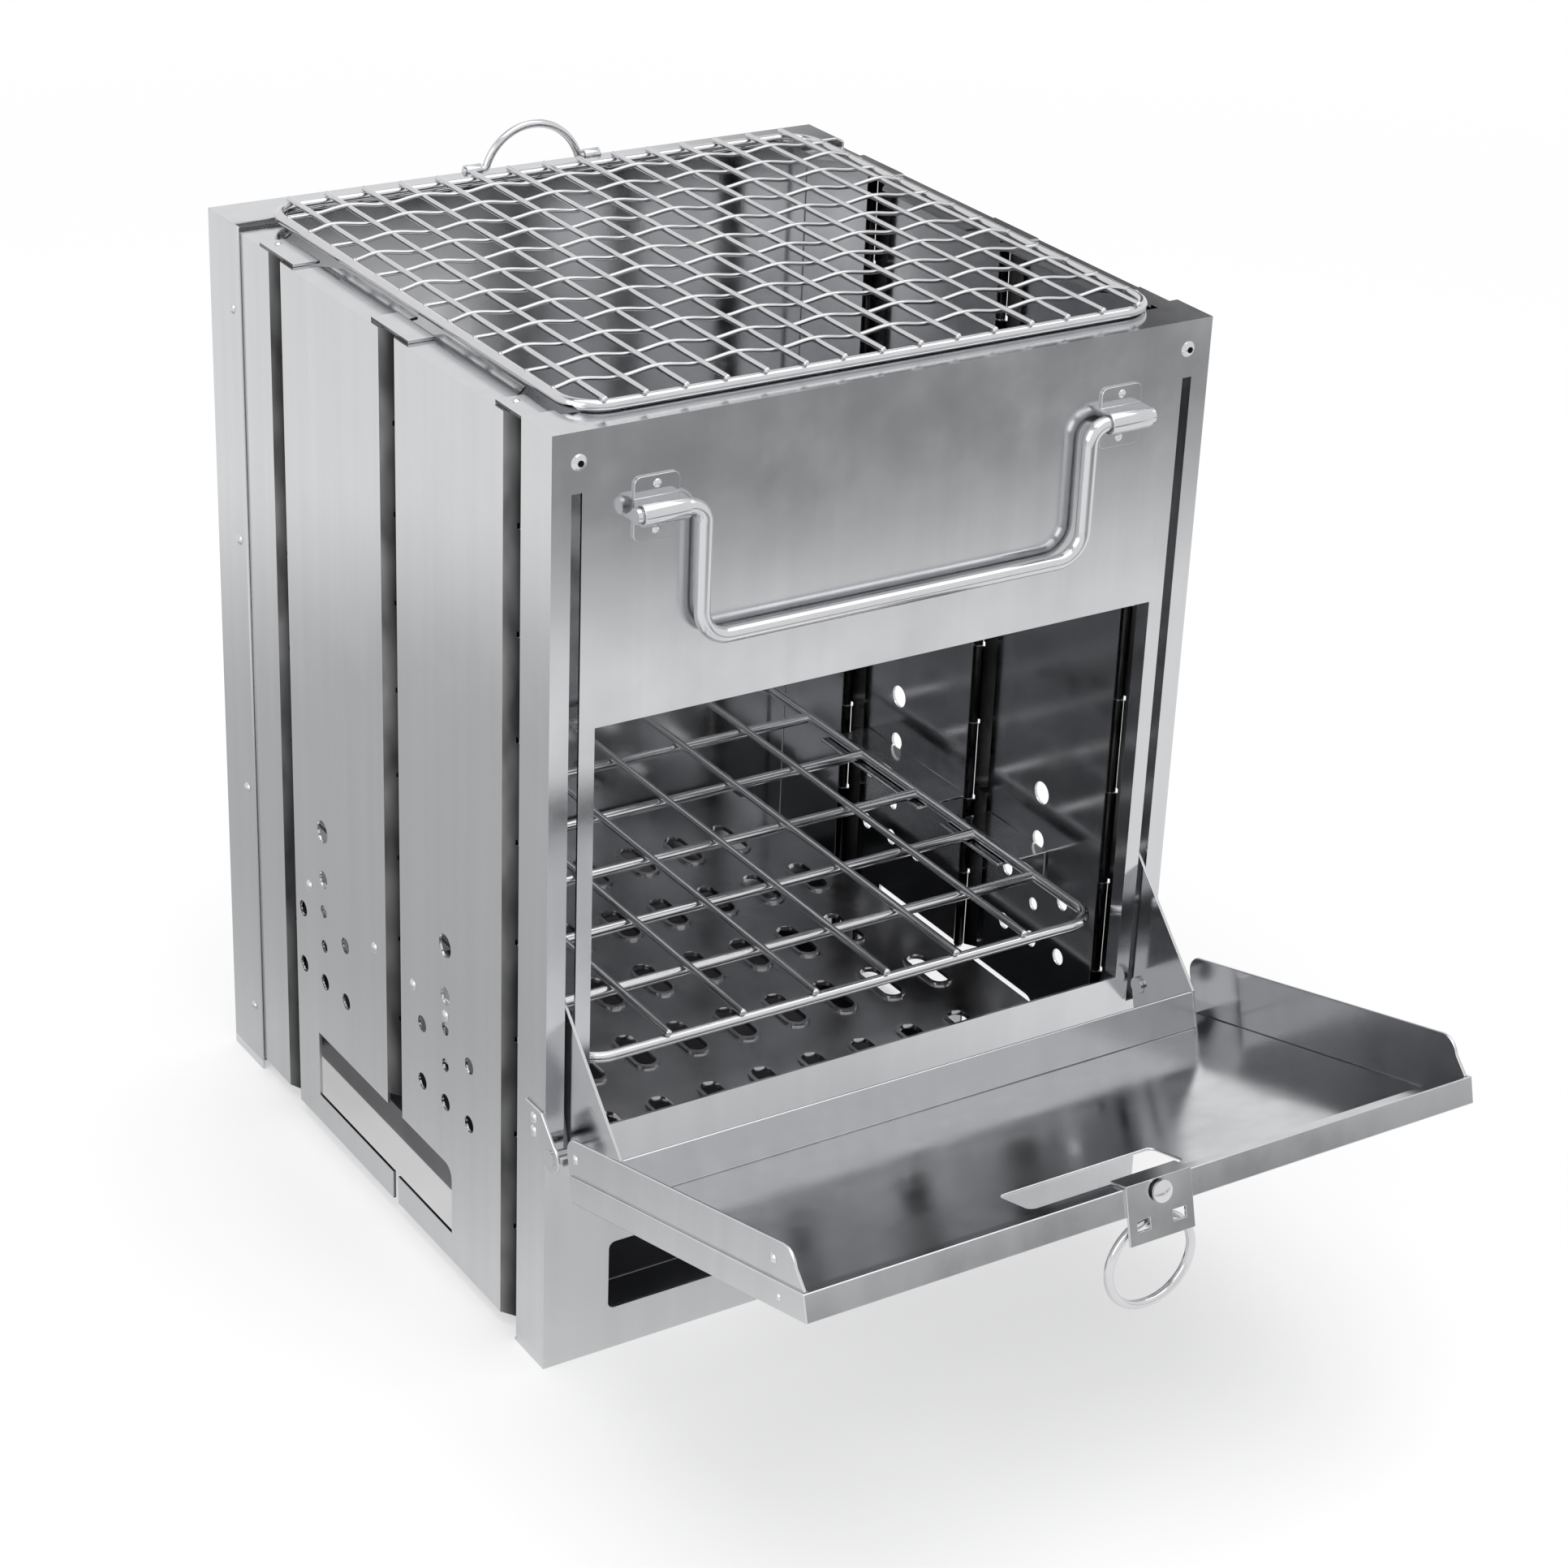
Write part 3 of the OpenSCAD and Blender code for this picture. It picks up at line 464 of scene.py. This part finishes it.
def whiteFloor(spec):
    material, tree = startMaterial("paperFloor")
    place = addNode(tree, "ShaderNodeTexCoord")
    paint = addNode(tree, "ShaderNodeBsdfDiffuse", {"Color": linear(spec["floorColour"])})
    white = addNode(tree, "ShaderNodeEmission", {"Color": (1, 1, 1, 1)})
    runOut = fadeOut(tree, place.outputs["Object"], spec["whiteOut"], (spec["ownWhite"], 1.0))
    share = addNode(tree, "ShaderNodeMath", {"operation": "MULTIPLY"}, {0: seenRays(tree), 1: runOut})
    paper = addNode(tree, "ShaderNodeMixShader", None, {0: share.outputs[0], 1: paint.outputs["BSDF"],
                                                        2: white.outputs["Emission"]})
    addNode(tree, "ShaderNodeOutputMaterial", None, {"Surface": paper.outputs["Shader"]})
    floor = addPlane("paperFloor", (spec["floorSize"], spec["floorSize"]), material)


def softSky(spec):
    world = bpy.data.worlds.new("softSky")
    world.use_nodes = True
    tree = world.node_tree
    tree.nodes.clear()
    level = addNode(tree, "ShaderNodeMapRange", {"To Min": spec["skyLevel"], "To Max": 1.0},
                    {"Value": seenRays(tree)})
    sky = addNode(tree, "ShaderNodeBackground", {"Color": (1, 1, 1, 1)},
                  {"Strength": level.outputs["Result"]})
    addNode(tree, "ShaderNodeOutputWorld", None, {"Surface": sky.outputs["Background"]})
    bpy.context.scene.world = world


# Cards that only the bright metal sees: they give the sheets their greys, as a studio's dark corners do

cards = {
    "ceiling": {"at": (0, 0.1, 1.9), "size": (3.2, 3.2), "face": (0, 0, -1), "grey": "#1c1c1d", "dense": 1.0},
    "frontFloor": {"at": (0.33, -0.62, 0.003), "size": (1.3, 0.55), "face": (0, 0, 1), "grey": "#5c5d5f",
                   "dense": 0.75},
    "leftFloor": {"at": (-0.24, 0.26, 0.003), "size": (0.44, 0.80), "face": (0, 0, 1), "grey": "#6a6b6e",
                  "dense": 0.5},
    "backRight": {"at": (1.0, 1.25, 0.75), "size": (0.7, 0.9), "face": (-0.6, -0.8, 0), "grey": "#3a3a3c",
                  "dense": 0.9},
}
cardFade = (1.0, 0.35)      # shares of the half size between which a card fades, so that no outline shows


def hangCards(specs):
    for name, spec in specs.items():
        material, tree = startMaterial(name + "Card")
        place = addNode(tree, "ShaderNodeTexCoord")
        half = addNode(tree, "ShaderNodeMapping", {"Scale": (2 / spec["size"][0], 2 / spec["size"][1], 1.0)},
                       {"Vector": place.outputs["Object"]})
        shown = fadeOut(tree, half.outputs["Vector"], cardFade, (0.0, spec["dense"]))
        clear = addNode(tree, "ShaderNodeBsdfTransparent")
        shade = addNode(tree, "ShaderNodeEmission", {"Color": linear(spec["grey"])})
        mixed = addNode(tree, "ShaderNodeMixShader", None, {0: shown, 1: clear.outputs["BSDF"],
                                                            2: shade.outputs["Emission"]})
        addNode(tree, "ShaderNodeOutputMaterial", None, {"Surface": mixed.outputs["Shader"]})
        card = addPlane(name, spec["size"], material)
        card.location = spec["at"]
        card.rotation_euler = Vector(spec["face"]).to_track_quat("Z", "Y").to_euler()
        card.visible_camera = False
        card.visible_diffuse = False
        card.visible_shadow = False


# Lamps: a wide one overhead and a smaller one at the left

lamps = {
    "overhead": {"place": (0.1, -0.1, 1.6), "aim": (0, 0.1, 0.1), "size": 1.6, "power": 14},
    "leftWindow": {"place": (-1.5, -0.3, 0.9), "aim": (0, 0.1, 0.15), "size": 1.2, "power": 8},
}


def hangLamps(specs):
    for name, spec in specs.items():
        data = bpy.data.lights.new(name, "AREA")
        data.shape = "SQUARE"
        data.size = spec["size"]
        data.energy = spec["power"]
        lamp = addObject(name, data)
        lamp.location = spec["place"]
        aim = Vector(spec["aim"]) - Vector(spec["place"])
        lamp.rotation_euler = aim.to_track_quat("-Z", "Y").to_euler()


whiteFloor(studio)
softSky(studio)
hangCards(cards)
hangLamps(lamps)
bpy.context.scene.view_settings.view_transform = "Standard"
print("studio lit")
